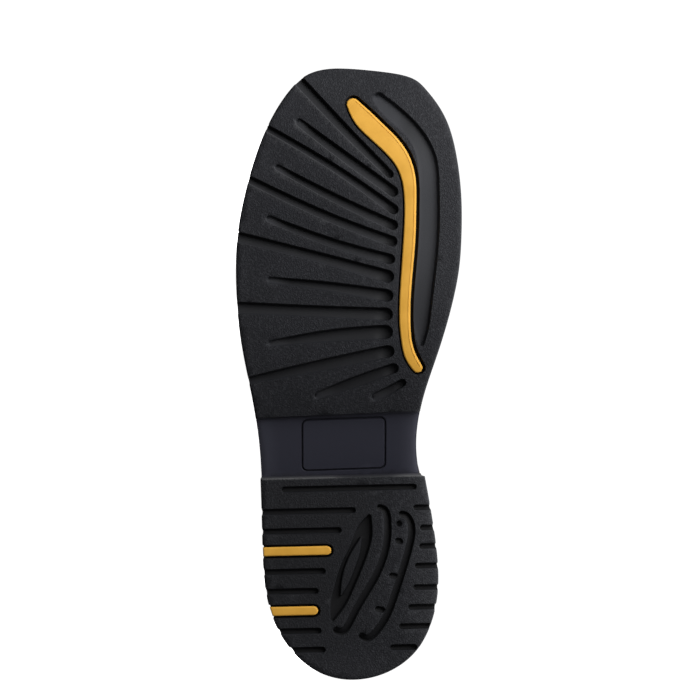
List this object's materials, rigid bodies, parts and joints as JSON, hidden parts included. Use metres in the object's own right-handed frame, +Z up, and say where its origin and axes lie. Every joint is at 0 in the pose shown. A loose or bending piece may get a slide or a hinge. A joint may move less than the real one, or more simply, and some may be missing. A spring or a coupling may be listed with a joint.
{
  "type": "western work boot",
  "caption": "Pull-on western work boot for the right foot: hollow leather upper, scalloped collar, pull straps, welt and rubber sole with yellow inserts.",
  "frame": {"origin": "on the floor, under the middle of the boot's bounding box, with the boot lying on its outer side", "axes": "+Z up from the floor, from the boot's outer side to its inner side; -X towards the toe; the tread faces -Y and the shaft runs to +Y"},
  "size_m": [0.3166, 0.3196, 0.1193],
  "materials": {
    "black_rubber": "matte, finely pebbled",
    "yellow_rubber": "matte, smooth",
    "welt_leather": "cut and waxed edge",
    "insole_leather": "natural, matte",
    "shaft_leather": "oiled, satin",
    "foot_leather": "oiled, satin",
    "trim_leather": "satin",
    "strap_webbing": "woven, matte"
  },
  "bodies": {
    "root": {"outsole": "black_rubber", "forefoot_insert": "yellow_rubber", "heel_insert_front": "yellow_rubber", "heel_insert_rear": "yellow_rubber", "welt": "welt_leather", "insole": "insole_leather", "upper": "shaft_leather", "vamp_overlay": "foot_leather", "counter_overlay": "foot_leather", "collar_binding": "trim_leather", "side_piping_outer": "trim_leather", "side_piping_inner": "trim_leather", "pull_strap_outer": "strap_webbing", "pull_strap_inner": "strap_webbing"}
  },
  "joints": []
}
